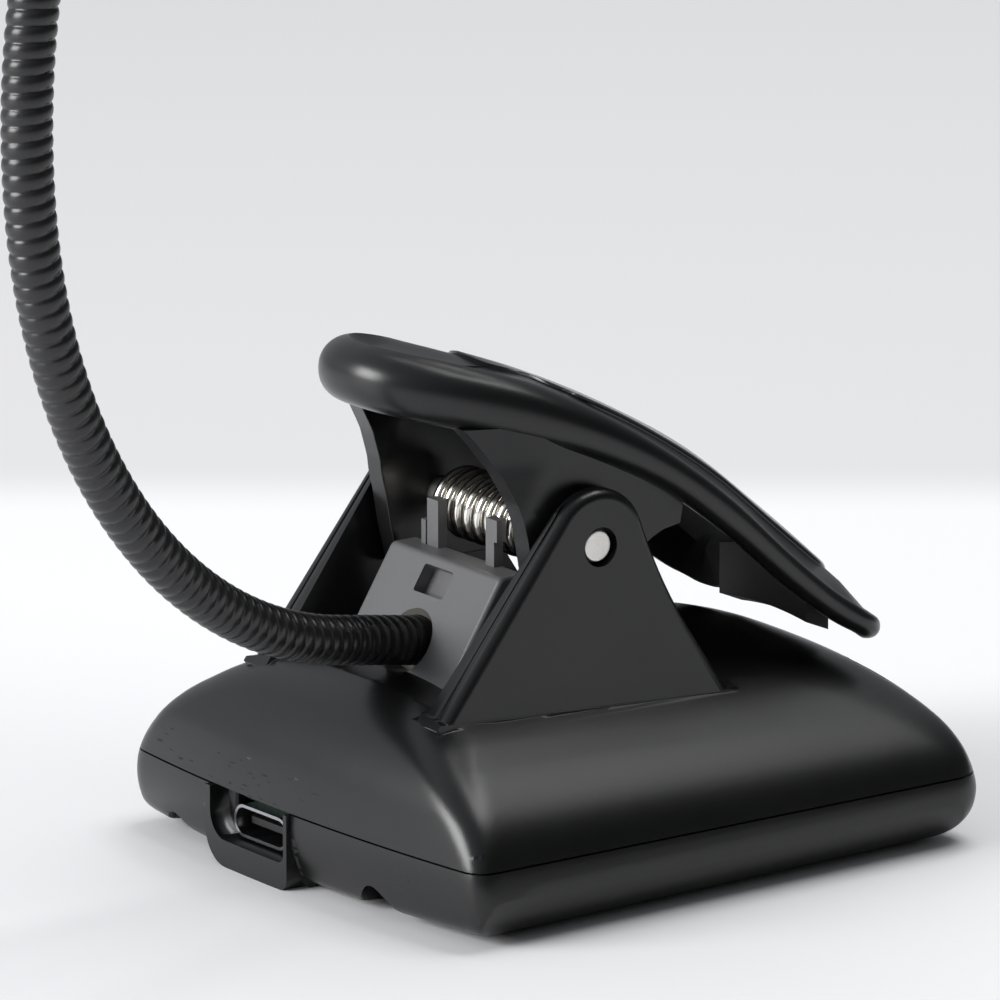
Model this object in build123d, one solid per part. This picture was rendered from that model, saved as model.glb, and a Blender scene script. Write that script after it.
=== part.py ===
from build123d import *
import math
import os

os.makedirs("parts", exist_ok=True)

# Frame, in mm: +X towards the tip of the clip's jaw, +Y towards the charging port's side,
# +Z up. The origin is the middle of the flat underside that the clip stands on.

# Clip casing, outside
usb_corner_x = 31.9
usb_corner_half = 29.5
jaw_corner_half = 27.3
usb_bow = 2.0
jaw_bow = 1.2
usb_plan_radius = 2.3
jaw_plan_radius = 5.0
usb_bow_radius = 218.0
jaw_bow_radius = 304.0
casing_wall = 2.0
# Each row: x, half width, knee (y, z), shoulder z, slope of the crowned top in degrees
casing_sections = (
    (-36.0, 29.65, 27.3, 12.2, 19.6, 2.0),
    (8.0, 28.15, 25.8, 11.4, 16.8, 24.0),
    (36.0, 27.15, 24.8, 10.6, 14.9, 22.0),
)
shoulder_half = 16.0
flank_bottom_radius = 6.0
flank_lean = 0.1
flank_z = 8.2
flank_radius = 4.0
knee_radius = 5.0
shoulder_radius = 6.0
crown_reach = 13.6
# Port end in the XZ plane, from the underside upwards, as (x, z, radius)
port_end_profile = (
    (-31.4, 0.0, 1.0),
    (-33.9, 3.4, 9.0),
    (-33.7, 10.0, 8.0),
    (-31.2, 16.6, 5.0),
    (-27.6, 19.2, 6.0),
)
jaw_end_profile = (
    (14.0, 22.6, 0.0),
    (24.1, 19.2, 14.0),
    (30.5, 16.5, 5.0),
    (33.1, 12.5, 4.0),
    (33.1, 0.0, 6.5),
)

# Seam between the two casing halves
seam_z = 7.6
seam_slope = 0.0125
seam_gap = 0.18
lip_outer_inset = 1.35
rebate_inset = 1.2
lip_height = 1.5
rebate_height = 1.7

# Ears that carry the pivot pin
pin_x = -7.3
pin_z = 33.4
pin_radius = 1.575
pin_half_length = 15.17
ear_tip_radius = 5.6
ear_apex = (-5.47, 44.73)
ear_front_lean = 38.5
ear_waist = (0.45, 28.4)
ear_back_lean = 33.5
ear_waist_radius = 56.0
ear_root_z = 14.0
ear_inner_low = 12.65
ear_inner_high = 13.65
ear_outer_low = 15.95
ear_outer_high = 15.6
ear_low_z = 19.0
ear_high_z = 35.0
ear_edge_radius = 1.05
ear_bore_radius = 1.585
ear_counterbore_radius = 1.95
ear_counterbore_depth = 1.3
ear_groove_y = 14.25
ear_groove_width = 0.22
ear_groove_depth = 0.35

# Screw wells and posts
wells = ((-28.6, -12.5), (-27.7, 21.0), (25.0, -17.0), (25.0, 17.0))
well_radius = 4.0
well_depth = 4.0
well_wall = 1.45
well_floor = 1.4
post_radius = 2.6
post_gap = 0.05
screw_shank_radius = 1.0
screw_hole_radius = 1.15
screw_pilot_radius = 1.01
screw_head_radius = 2.0
screw_head_height = 1.4
screw_slot = 0.45
case_screw_reach = 5.0

# Charging port
port_y = 6.2
port_z = 4.6
port_mouth_x = -32.0
port_width = 8.94
port_height = 3.26
port_depth = 7.35
port_shell_wall = 0.3
tongue_width = 6.69
tongue_height = 0.7
tongue_recess = 1.0
boss_low_y = -0.7
boss_high_y = 13.5
boss_depth = 3.4
port_window_low_y = -0.15
port_window_high_y = 12.6
port_window_low_z = 2.7
port_window_radius = 2.6

# Charging board, cell and leads
board_low_x = -30.3
board_high_x = -15.0
board_low_y = -3.0
board_high_y = 14.6
board_thick = 1.0
board_z = port_z + port_height / 2
board_post_x = -17.2
board_post_ys = (-0.6, 12.2)
cell_low_x = -13.0
cell_high_x = 18.0
cell_half = 15.0
cell_z = 2.35
cell_height = 7.0
tape_height = 0.3
lead_radius = 0.55

# Neck block
block_half = 9.05
block_foot_x = -21.85
block_foot_z = 18.0
block_top_front_x = -14.34
block_top_z = 29.98
block_back_x = -10.95
block_edge_radius = 0.8
prong_y = 4.8
prong_width = 1.8
prong_front_x = -12.4
prong_back_x = -11.3
prong_top_z = 34.7
notch_along = 10.4
notch_length = 2.9
notch_width = 4.8
notch_depth = 1.5
block_screw_x = -15.6
block_screw_y = 6.6
block_screw_reach = 5.0

# Torsion spring on the pin
spring_wire_radius = 0.6
spring_mean_radius = 2.975
spring_pitch = 1.7
spring_turns = 9
spring_near_y = -6.85
spring_base_leg = 3.2
spring_lever_leg = 15.9

# Lever
lever_wall = 1.8
lever_pad_half = 16.0
lever_pad_center_x = -12.0
lever_pad_reach = 17.0
lever_waist_x = 20.0
lever_tip_x = 29.5
lever_tip_half = 15.0
# Each row: x, z of the rounded side edge, z of the crowned middle
lever_sections = (
    (-31.0, 50.9, 54.3),
    (-20.0, 49.0, 52.2),
    (-10.0, 45.2, 48.5),
    (0.0, 40.3, 44.1),
    (10.0, 33.6, 38.8),
    (20.0, 25.4, 31.2),
    (31.0, 17.9, 20.6),
)
lever_edge_radius = 2.6
# Underside edge of the skirt in the XZ plane, from the tip to the thumb pad, as (x, z, radius)
lever_lip = (
    (lever_tip_x, 16.6, 0.4),
    (23.5, 19.6, 12.0),
    (14.0, 27.1, 12.0),
    (1.85, 36.7, 14.0),
    (-12.5, 43.7, 10.0),
    (-28.4, 47.6, 0.8),
)
lever_front = ((-29.2, 50.0, 1.5), (-27.9, 53.4, 2.2), (-24.0, 60.0, 0.0))
lever_ceiling = 60.0
dish_radius = 40.0
dish_center = (-6.9, 0.0, 88.6)
cheek_inner = 10.4
cheek_outer = 12.8
cheek_bore_clearance = 0.055
cheek_embed = 0.9
cheek_outline = (
    (-17.2, 46.5, 0.0),
    (-15.3, 40.5, 3.0),
    (-13.3, 34.8, 6.0),
    (-12.4, 28.2, 4.5),
    (-2.2, 26.6, 5.0),
    (0.0, 33.4, 3.0),
    (5.2, 36.3, 0.0),
    (5.2, 46.5, 0.0),
)
panel_rise = 0.45
panel_low_x = -5.5
panel_high_x = 25.5
panel_half_low = 9.0
panel_half_high = 7.0
panel_corner_radius = 5.0
jaw_pad_low_x = 20.5
jaw_pad_high_x = 27.2
jaw_pad_half = 12.5
jaw_clearance = 0.3
lever_nose_clearance = 0.7

# Gooseneck, measured along its centre line from the point where it leaves the block
neck_root = (-18.0, 0.0, 22.5)
neck_turn = 16.0
neck_lift = 12.0
neck_inside = 4.0
neck_straight = 12.5
neck_low_arc = 70.0
neck_low_bend = 1.0
neck_high_arc = 122.5
neck_high_bend = 0.85
neck_end = 217.5
rib_pitch = 1.5
rib_shape = ((0.0, 2.13), (0.25, 2.38), (0.5, 2.45), (0.75, 2.38))
neck_bore_radius = 1.32
neck_cuts = (9.0, 34.5, 60.0, 85.5, 111.0, 136.5, 162.0, 187.5)
neck_cut_gap = 0.45
cable_radius = 1.0
cable_step = 1.5
ferrule_radius = 3.08
ferrule_bore_radius = 2.47
ferrule_length = 3.8
socket_radius = 3.1
socket_deep = 6.4
lead_hole_radius = 1.3
lead_hole_x = -12.5
lamp_lead_radius = 0.8

# Lamp head, in its own frame: x forwards from its back edge, y across, z up
head_at = 213.0
head_depth = 36.0
head_half = 41.0
head_top = 6.0
head_bottom = -5.0
head_seam = 0.5
head_seam_gap = 0.1
head_wall = 1.6
head_corner_radius = 9.0
head_top_radius = 2.4
head_bottom_radius = 1.4
collar_radius = 4.2
collar_bore_radius = 2.5
collar_back = -6.5
collar_front = 3.0
collar_hole_clearance = 0.05
window_low_x = 7.5
window_high_x = 30.5
window_half = 30.5
window_corner_radius = 3.0
diffuser_margin = 1.2
diffuser_plate = 1.0
diffuser_gap = 0.1
led_board_low_x = 6.2
led_board_high_x = 33.2
led_board_half = 33.6
led_board_z = -1.0
led_rows = (12.0, 19.0, 26.0)
led_columns = (-25.0, -15.0, -5.0, 5.0, 15.0, 25.0)
led_size = (2.8, 3.5, 0.7)
rib_y = 32.9
head_screw_xs = (7.2, 28.8)
head_screw_y = 37.0
head_screw_post = 2.7
button_x = 19.0
button_ys = (-12.0, 12.0)
button_radius = 3.5
button_hole_radius = 3.7
button_flange_radius = 4.4
button_rise = 0.8
button_flange = 0.8
button_stem_low = 2.5
button_stem_radius = 1.5
switch_size = 6.0
switch_height = 1.6


def offset_points(points, inset):
    """Polygon corners (a, b, radius), counter-clockwise, moved inwards by inset."""
    count = len(points)
    lines = []
    for i in range(count):
        (a, b, _), (c, d, _) = points[i], points[(i + 1) % count]
        length = math.hypot(c - a, d - b)
        nx, ny = -(d - b) / length, (c - a) / length
        lines.append((a + nx * inset, b + ny * inset, (c - a) / length, (d - b) / length))
    moved = []
    for i in range(count):
        x1, y1, u1, v1 = lines[i - 1]
        x2, y2, u2, v2 = lines[i]
        cross = u1 * v2 - v1 * u2
        if abs(cross) < 1e-9:
            moved.append((x2, y2, points[i][2]))
            continue
        t = ((x2 - x1) * v2 - (y2 - y1) * u2) / cross
        radius = points[i][2]
        if radius > 0:
            radius -= inset * math.copysign(1.0, cross)
        moved.append((x1 + u1 * t, y1 + v1 * t, radius if radius > 0.1 else 0.0))
    return moved


def rounded_wire(plane, points):
    """Closed wire on a plane through corners (a, b, radius), each rounded by its radius."""
    ends = []
    count = len(points)
    for i in range(count):
        a, b, radius = points[i]
        corner = Vector(a, b)
        back = (Vector(*points[i - 1][:2]) - corner).normalized()
        ahead = (Vector(*points[(i + 1) % count][:2]) - corner).normalized()
        if radius <= 0:
            ends.append((corner, None, corner))
            continue
        half = math.acos(max(-1.0, min(1.0, back.dot(ahead)))) / 2
        reach = radius / math.tan(half)
        bisector = (back + ahead).normalized()
        middle = corner + bisector * (radius / math.sin(half) - radius)
        ends.append((corner + back * reach, middle, corner + ahead * reach))
    edges = []
    for i in range(count):
        start, middle, finish = [plane.from_local_coords(p) if p else None for p in ends[i]]
        if middle is not None:
            edges.append(Edge.make_three_point_arc(start, middle, finish))
        following = plane.from_local_coords(ends[(i + 1) % count][0])
        edges.append(Edge.make_line(finish, following))
    return Wire(edges)


def prism(plane, points, low, high):
    """Rounded polygon drawn on a plane and run from low to high along its normal."""
    start = plane.offset(low)
    face = Face(rounded_wire(start, points))
    return Solid.extrude(face, start.z_dir * (high - low))


def box(x0, x1, y0, y1, z0, z1):
    """Block between two corners."""
    return Pos(x0, y0, z0) * Solid.make_box(x1 - x0, y1 - y0, z1 - z0)


def rod(x, y, z0, z1, radius):
    """Upright cylinder."""
    return Solid.make_cylinder(radius, z1 - z0, Plane((x, y, z0)))


def across(x, z, y0, y1, radius):
    """Cylinder that lies along Y."""
    return Solid.make_cylinder(radius, y1 - y0, Plane((x, y0, z), z_dir=(0, 1, 0)))


XZ = Plane((0, 0, 0), x_dir=(1, 0, 0), z_dir=(0, -1, 0))


def casing_section(row, inset):
    x, half, knee_y, knee_z, shoulder_z, slope = row
    rise = shoulder_half * math.tan(math.radians(slope))
    crown_radius = crown_reach / math.sin(math.radians(slope))
    right = [
        (half, 0.0, flank_bottom_radius),
        (half - flank_lean, flank_z, flank_radius),
        (knee_y, knee_z, knee_radius),
        (shoulder_half, shoulder_z, shoulder_radius),
    ]
    left = [(-y, z, r) for y, z, r in reversed(right)]
    points = right + [(0.0, shoulder_z + rise, crown_radius)] + left
    plane = Plane((x, 0, 0), x_dir=(0, 1, 0), z_dir=(1, 0, 0))
    return rounded_wire(plane, offset_points(points, inset))


def casing(inset):
    """Whole outside of the clip's body, moved inwards by inset."""
    body = Solid.make_loft([casing_section(row, inset) for row in casing_sections], True)
    far = 90.0
    tall = 60.0
    end = [(far, 0.0, 0.0), (far, tall, 0.0), (-27.0, tall, 0.0)]
    end += list(reversed(port_end_profile))
    port_axis = Axis((usb_bow_radius - usb_corner_x - usb_bow, 0, 0), (0, 0, 1))
    port_side = revolved(offset_points(end, inset), port_axis)
    nose = [(-far, tall, 0.0), (-far, 0.0, 0.0)]
    nose += list(reversed(jaw_end_profile)) + [(14.0, tall, 0.0)]
    jaw_axis = Axis((usb_corner_x + jaw_bow - jaw_bow_radius, 0, 0), (0, 0, 1))
    jaw_side = revolved(offset_points(nose, inset), jaw_axis)
    usb_tip = -usb_corner_x - 2 * usb_bow
    jaw_tip = usb_corner_x + 2 * jaw_bow
    plan = [
        (-usb_corner_x, -usb_corner_half, usb_plan_radius),
        (usb_corner_x, -jaw_corner_half, jaw_plan_radius),
        (jaw_tip, 0.0, 0.0),
        (usb_corner_x, jaw_corner_half, jaw_plan_radius),
        (-usb_corner_x, usb_corner_half, usb_plan_radius),
        (usb_tip, 0.0, 0.0),
    ]
    outline = prism(Plane.XY, offset_points(plan, inset), -1.0, tall)
    return body & port_side & jaw_side & outline


def revolved(points, axis):
    """Profile in the XZ plane swung about an upright axis, ten degrees to each side."""
    face = Face(rounded_wire(XZ, points)).rotate(axis, -10.0)
    return Solid.revolve(face, 20.0, axis)


def seam_slab(low, high):
    """Everything between two surfaces parallel to the seam."""
    drop = seam_slope * 50.0
    middle = seam_z - seam_slope * usb_corner_x
    points = [
        (-50.0, middle + drop + low, 0.0),
        (50.0, middle - drop + low, 0.0),
        (50.0, middle - drop + high, 0.0),
        (-50.0, middle + drop + high, 0.0),
    ]
    return prism(XZ, points, -50.0, 50.0)


outside = casing(0.0)
inside = casing(casing_wall)
lip_outside = casing(lip_outer_inset)
rebate = casing(rebate_inset)
below = -20.0
above = 60.0


def port_box(low_y, high_y, low_z, radius, x0, x1):
    """Run along X of the port's outline, whose foot is rounded and whose top is open."""
    plane = Plane((x0, 0, 0), x_dir=(0, 1, 0), z_dir=(1, 0, 0))
    top = seam_z + 2.0
    points = [
        (low_y, low_z, radius / 3),
        (high_y, low_z, radius),
        (high_y, top, 0.0),
        (low_y, top, 0.0),
    ]
    return prism(plane, points, 0.0, x1 - x0)


# Lower casing, with the port's boss, the wells and the lip
front_x = -usb_corner_x - usb_bow
boss = port_box(boss_low_y, boss_high_y, 0.0, 3.6, front_x, front_x + boss_depth)
boss_axis_x = usb_bow_radius + front_x
boss &= rod(boss_axis_x, 0, below, above, usb_bow_radius)
lower = (outside - inside) & seam_slab(below, 0.0)
lower += boss & seam_slab(below, 0.0)
lower -= port_box(1.4, 11.0, 1.9, 1.5, front_x + 2.6, front_x + boss_depth + 1.0)
bosses = None
for x, y in wells:
    boss_post = rod(x, y, 0.0, well_depth + well_floor, well_radius + well_wall)
    bosses = boss_post if bosses is None else bosses + boss_post
lower += bosses & casing(0.5) & seam_slab(below, 0.0)
for y in board_post_ys:
    lower += rod(board_post_x, y, 0.5, board_z - 0.02, post_radius)
lower += (lip_outside - inside) & seam_slab(-0.6, lip_height)
for x, y in wells:
    lower -= rod(x, y, -1.0, well_depth, well_radius)
    lower -= rod(x, y, 0.0, 12.0, screw_hole_radius)
for y in board_post_ys:
    lower -= rod(board_post_x, y, 2.6, 12.0, screw_pilot_radius)
lower -= port_box(
    port_window_low_y, port_window_high_y, port_window_low_z, port_window_radius,
    front_x - 1.0, front_x + 2.7)

# Upper casing: roof, ears, posts
upper = (outside - inside) & seam_slab(seam_gap, above)
upper -= rebate & seam_slab(-1.0, rebate_height)


def ear(side):
    """One drafted ear on the given side, its outer edges rounded."""
    lean_front = math.tan(math.radians(ear_front_lean))
    lean_back = math.tan(math.radians(ear_back_lean))
    front_x = ear_apex[0] - (ear_apex[1] - ear_root_z) * lean_front
    back_x = ear_waist[0] + (ear_waist[1] - ear_root_z) * lean_back
    outline = [
        (front_x, ear_root_z, 0.0),
        (back_x, ear_root_z, 0.0),
        (ear_waist[0], ear_waist[1], ear_waist_radius),
        (ear_apex[0], ear_apex[1], ear_tip_radius),
    ]
    plate = prism(XZ, outline, -18.0, -11.0)
    rise = ear_high_z - ear_low_z
    inner_slope = (ear_inner_high - ear_inner_low) / rise
    outer_slope = (ear_outer_high - ear_outer_low) / rise
    low, high = ear_root_z - 1.0, 42.0
    wedge = [
        (ear_inner_low + inner_slope * (low - ear_low_z), low, 0.0),
        (ear_outer_low + outer_slope * (low - ear_low_z), low, 0.0),
        (ear_outer_low + outer_slope * (high - ear_low_z), high, 0.0),
        (ear_inner_low + inner_slope * (high - ear_low_z), high, 0.0),
    ]
    plane = Plane((-40, 0, 0), x_dir=(0, 1, 0), z_dir=(1, 0, 0))
    plate = plate & prism(plane, wedge, 0.0, 80.0)
    rim = [e for e in plate.edges() if e.center().Y > 15.0 and e.center().Z > ear_root_z + 0.5]
    plate = fillet(rim, ear_edge_radius)
    strip = [
        (front_x - 1.0, ear_root_z, 0.0),
        (front_x + ear_groove_depth / math.cos(math.radians(ear_front_lean)), ear_root_z, 0.0),
        (ear_apex[0] + ear_groove_depth, ear_apex[1], 0.0),
        (ear_apex[0] - 1.0, ear_apex[1], 0.0),
    ]
    plate -= prism(XZ, strip, -ear_groove_y - ear_groove_width, -ear_groove_y)
    return plate if side > 0 else plate.mirror(Plane.XZ)


for side in (-1, 1):
    upper += ear(side) - inside
upper -= across(pin_x, pin_z, -20.0, 20.0, ear_bore_radius)
for side in (-1, 1):
    face_y = ear_outer_high * side
    low_y, high_y = sorted((face_y - ear_counterbore_depth * side, face_y + 3.0 * side))
    upper -= across(pin_x, pin_z, low_y, high_y, ear_counterbore_radius)
for x, y in wells:
    post = rod(x, y, well_depth + well_floor + post_gap, 20.0, post_radius)
    upper += post & outside
for x, y in wells:
    upper -= rod(x, y, 0.0, well_depth + well_floor + case_screw_reach + 1.0, screw_pilot_radius)
for side in (-1, 1):
    upper -= rod(block_screw_x, side * block_screw_y, 12.0, 24.0, screw_hole_radius)
upper -= rod(lead_hole_x, 0, 12.0, 24.0, lead_hole_radius)


# Gooseneck's centre line
def neck_path(t):
    """Point, forward direction and elevation on the centre line."""
    spans = (
        (neck_straight, 0.0),
        (neck_low_arc, neck_low_bend),
        (neck_high_arc, neck_high_bend),
        (1000.0, 0.0),
    )
    angle = math.radians(neck_lift)
    out, up = min(t, 0.0) * math.cos(angle), min(t, 0.0) * math.sin(angle)
    left = max(t, 0.0)
    for length, bend in spans:
        run = min(left, length)
        turn = math.radians(bend * run)
        if bend == 0.0:
            out += run * math.cos(angle)
            up += run * math.sin(angle)
        else:
            radius = math.degrees(1.0) / bend
            out += radius * (math.sin(angle + turn) - math.sin(angle))
            up += radius * (math.cos(angle) - math.cos(angle + turn))
        angle += turn
        left -= run
    cos_turn, sin_turn = math.cos(math.radians(neck_turn)), math.sin(math.radians(neck_turn))
    point = Vector(*neck_root) + Vector(-cos_turn * out, -sin_turn * out, up)
    ahead = Vector(-cos_turn * math.cos(angle), -sin_turn * math.cos(angle), math.sin(angle))
    return point, ahead


neck_normal = Vector(-math.sin(math.radians(neck_turn)), math.cos(math.radians(neck_turn)), 0)


def neck_plane(t):
    point, ahead = neck_path(t)
    return Plane(point, x_dir=neck_normal, z_dir=ahead)


def loft_along(stations):
    """Ruled skin through circles (t, radius) on the centre line."""
    return Solid.make_loft([Wire.make_circle(r, neck_plane(t)) for t, r in stations], True)


def ribbed_length(start, finish):
    """Ribbed tube with its bore between two places on the centre line."""
    count = round((finish - start) / rib_pitch)
    pitch = (finish - start) / count
    outer = [(start + (k + part) * pitch, r) for k in range(count) for part, r in rib_shape]
    outer.append((finish, rib_shape[0][1]))
    steps = count + 2
    spread = (finish - start + 1.0) / steps
    bore = [(start - 0.5 + k * spread, neck_bore_radius) for k in range(steps + 1)]
    return loft_along(outer) - loft_along(bore)


def cable_length(start, finish):
    count = max(2, round((finish - start) / cable_step))
    return loft_along([(start + (finish - start) * k / count, cable_radius) for k in range(count + 1)])


# Neck block, with its socket, notch and prongs
face_along = Vector(block_top_front_x - block_foot_x, 0, block_top_z - block_foot_z).normalized()
block_points = [
    (block_foot_x, block_foot_z, 0.0),
    (block_back_x, block_foot_z, 0.0),
    (block_back_x, block_top_z, block_edge_radius),
    (block_top_front_x, block_top_z, block_edge_radius),
]
block = prism(XZ, block_points, -block_half, block_half)
side_edges = [e for e in block.edges() if abs(abs(e.center().Y) - block_half) < 0.01]
block = fillet([e for e in side_edges if e.center().Z > block_foot_z + 1.0], 0.45)
for side in (-1, 1):
    top = box(prong_front_x, prong_back_x, side * prong_y - prong_width / 2,
              side * prong_y + prong_width / 2, block_top_z - 1.0, prong_top_z)
    block += top
block -= box(prong_front_x - 1, prong_back_x + 1, -prong_y - prong_width / 2 - 1.0,
             -prong_y - prong_width / 2 + 0.45, block_top_z, 32.5)
block += box(prong_front_x, prong_back_x, prong_y + prong_width / 2 + 0.25,
             prong_y + prong_width / 2 + 0.95, block_top_z - 1.0, 32.4)
notch_plane = Plane(
    Vector(block_foot_x, 0, block_foot_z) + face_along * (notch_along + 1.32),
    x_dir=(0, 1, 0), z_dir=face_along.cross(Vector(0, 1, 0)))
notch_points = [
    (-2.2, -notch_length / 2, 0.6),
    (2.6, -notch_length / 2, 0.3),
    (2.6, notch_length / 2, 0.3),
    (-2.2, notch_length / 2, 0.3),
]
block -= prism(notch_plane, notch_points, -notch_depth, notch_depth)
socket = Solid.make_cylinder(socket_radius, 12.0 + socket_deep, neck_plane(-socket_deep))
block -= socket
block -= rod(lead_hole_x, 0, 12.0, neck_path(-5.5)[0].Z, lead_hole_radius)
block -= outside
for side in (-1, 1):
    block -= rod(block_screw_x, side * block_screw_y, 12.0, 19.8 + block_screw_reach + 0.5,
                 screw_pilot_radius)

ferrule = Solid.make_cylinder(ferrule_radius, ferrule_length, neck_plane(-neck_inside))
ferrule -= Solid.make_cylinder(ferrule_bore_radius, ferrule_length + 2, neck_plane(-neck_inside - 1.0))
upper -= socket


def screw(plane, length, head_radius, head_height):
    """Pan-head screw with a cross slot: its head lies behind the plane, its shank ahead."""
    back = plane.offset(-head_height)
    head = Solid.make_cylinder(head_radius, head_height, back)
    rings = head.edges().filter_by(GeomType.CIRCLE)
    head = fillet([e for e in rings if (e.arc_center - back.origin).length < 0.01], head_height * 0.35)
    body = head + Solid.make_cylinder(screw_shank_radius, length, plane)
    arm, half_slot, deep = head_radius * 0.6, screw_slot / 2, head_height * 0.6
    body -= back.location * box(-arm, arm, -half_slot, half_slot, -1.0, deep)
    body -= back.location * box(-half_slot, half_slot, -arm, arm, -1.0, deep)
    return body


UP = (0, 0, 1)
DOWN = (0, 0, -1)
case_screws = []
for x, y in wells:
    seat = Plane((x, y, well_depth - 0.02), z_dir=UP)
    case_screws.append(screw(seat, well_floor + case_screw_reach, screw_head_radius, screw_head_height))
board_screws = []
for y in board_post_ys:
    seat = Plane((board_post_x, y, board_z + board_thick + 0.02), z_dir=DOWN)
    board_screws.append(screw(seat, 4.4, 1.8, 1.2))
block_screws = []
for side in (-1, 1):
    probe = rod(block_screw_x, side * block_screw_y, 10.0, 30.0, screw_head_radius) & inside
    seat_z = probe.bounding_box().max.Z
    spot = rod(block_screw_x, side * block_screw_y, 10.0, seat_z, screw_head_radius + 0.4)
    upper -= spot & outside
    seat = Plane((block_screw_x, side * block_screw_y, seat_z - 0.02), z_dir=UP)
    block_screws.append(screw(seat, casing_wall + block_screw_reach, screw_head_radius, screw_head_height))

pin = across(pin_x, pin_z, -pin_half_length, pin_half_length, pin_radius)
pin = fillet(pin.edges().filter_by(GeomType.CIRCLE), 0.2)


# Torsion spring: a leg behind the block, the coil, a leg up to the lever
def torsion_spring():
    edges = []
    mean, pitch = spring_mean_radius, spring_pitch

    def at(turn):
        angle = 2 * math.pi * turn
        return Vector(pin_x - mean * math.cos(angle), spring_near_y + pitch * turn,
                      pin_z + mean * math.sin(angle))

    start = at(0.0)
    start_dir = Vector(0, 0, 1)
    edges.append(Edge.make_line(start - start_dir * spring_base_leg, start))
    stops = [(k + 1) / 4 for k in range(4 * spring_turns - 1)] + [spring_turns - 1 / 16]
    heading = start_dir
    place = start
    for turn in stops:
        goal = at(turn)
        angle = 2 * math.pi * turn
        goal_dir = Vector(mean * math.sin(angle), 0, mean * math.cos(angle)).normalized()
        lean = pitch / (2 * math.pi * mean)
        goal_dir = (goal_dir + Vector(0, lean, 0)).normalized()
        chord = goal - place
        mix = heading + goal_dir
        a = 2 * (1 - heading.dot(goal_dir))
        b = 2 * chord.dot(mix)
        c = -chord.dot(chord)
        d = (-b + math.sqrt(b * b - 4 * a * c)) / (2 * a) if a > 1e-9 else -c / b
        joint = (place + heading * d + goal - goal_dir * d) * 0.5
        edges.append(Edge.make_tangent_arc(place, heading, joint))
        joint_dir = (goal - goal_dir * d - place - heading * d).normalized()
        edges.append(Edge.make_tangent_arc(joint, joint_dir, goal))
        place, heading = goal, goal_dir
    edges.append(Edge.make_line(place, place + heading * spring_lever_leg))
    path = Wire(edges)
    profile = Wire.make_circle(spring_wire_radius, Plane(start - start_dir * spring_base_leg, z_dir=start_dir))
    count = 1200
    points = [path.position_at(k / count) for k in range(count + 1)]
    length = path.length
    apart = math.ceil(count * 6.0 / length)
    gap = min((points[i] - points[j]).length for i in range(count + 1)
              for j in range(i + apart, min(i + apart * 5, count + 1)))
    print("torsion spring: wire", 2 * spring_wire_radius, "mm, length", round(length, 1),
          "mm, least gap to itself", round(gap - 2 * spring_wire_radius, 3), "mm")
    return Solid.sweep(Face(profile), path)


spring = torsion_spring()


# Lever
def lever_section(row, inset, floor):
    x, side_z, top_z = row
    half = lever_pad_half + 0.6 - inset
    side_z, top_z = side_z - inset, top_z - inset
    rise = 1.75 * (top_z - side_z)
    slope = math.atan2(rise, half)
    crown = (side_z + rise - top_z) / (1 / math.cos(slope) - 1)
    points = [
        (-half, floor, 0.0),
        (half, floor, 0.0),
        (half, side_z, max(lever_edge_radius - inset, 0.4)),
        (0.0, side_z + rise, crown),
        (-half, side_z, max(lever_edge_radius - inset, 0.4)),
    ]
    return rounded_wire(Plane((x, 0, 0), x_dir=(0, 1, 0), z_dir=(1, 0, 0)), points)


def lever_plan(inset):
    """Upright prism of the lever's outline: round thumb pad, straight sides, squared tip."""
    reach_x, reach_y = lever_pad_reach - inset, lever_pad_half - inset
    tip = lever_tip_x - inset
    pad_face = make_face(Polyline(
        (lever_pad_center_x, -reach_y), (lever_waist_x, -reach_y),
        (tip, inset - lever_tip_half), (tip, lever_tip_half - inset),
        (lever_waist_x, reach_y), (lever_pad_center_x, reach_y), close=True))
    ends = [v for v in pad_face.vertices() if v.X > tip - 0.01]
    pad_face = fillet(ends, max(2.5 - inset, 0.5))
    ellipse = Pos(lever_pad_center_x, 0) * Ellipse(reach_x, reach_y)
    return Pos(0, 0, 5) * extrude(pad_face + ellipse, 60.0)


def lever_side(points):
    return prism(XZ, points, -25.0, 25.0)


def lever_solid(inset, floor):
    skin = Solid.make_loft([lever_section(row, inset, floor) for row in lever_sections], False)
    return skin & lever_plan(inset)


lip_points = [p for p in lever_lip]
side_points = list(reversed(lip_points)) + [(lever_tip_x, lever_ceiling, 0.0)]
side_points += list(reversed(lever_front))
lever_full = lever_solid(0.0, 8.0)
lever_outer = lever_full & lever_side(side_points)
lever_hollow = lever_solid(lever_wall, 4.0)
hollow_front = [
    (-29.0 + lever_wall, 20.0, 0.0),
    (lever_tip_x - lever_wall, 8.0, 0.0),
    (lever_tip_x - lever_wall, lever_ceiling, 0.0),
    (-27.9 + lever_wall, lever_ceiling, 0.0),
]
lever_hollow = lever_hollow & lever_side(hollow_front)
dish = Pos(*dish_center) * Solid.make_sphere(dish_radius, angle1=-90, angle2=90)
dish_under = Pos(*dish_center) * Solid.make_sphere(dish_radius + lever_wall, angle1=-90, angle2=90)
lever = (lever_outer - dish) - (lever_hollow - dish_under)
for side in (-1, 1):
    low_y, high_y = sorted((side * cheek_inner, side * cheek_outer))
    cheek = prism(XZ, list(cheek_outline), -high_y, -low_y)
    lever += cheek & lever_solid(cheek_embed, 8.0)
lever -= across(pin_x, pin_z, -20.0, 20.0, pin_radius + cheek_bore_clearance)
nose_clear = casing(-lever_nose_clearance)
lever -= nose_clear

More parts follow.
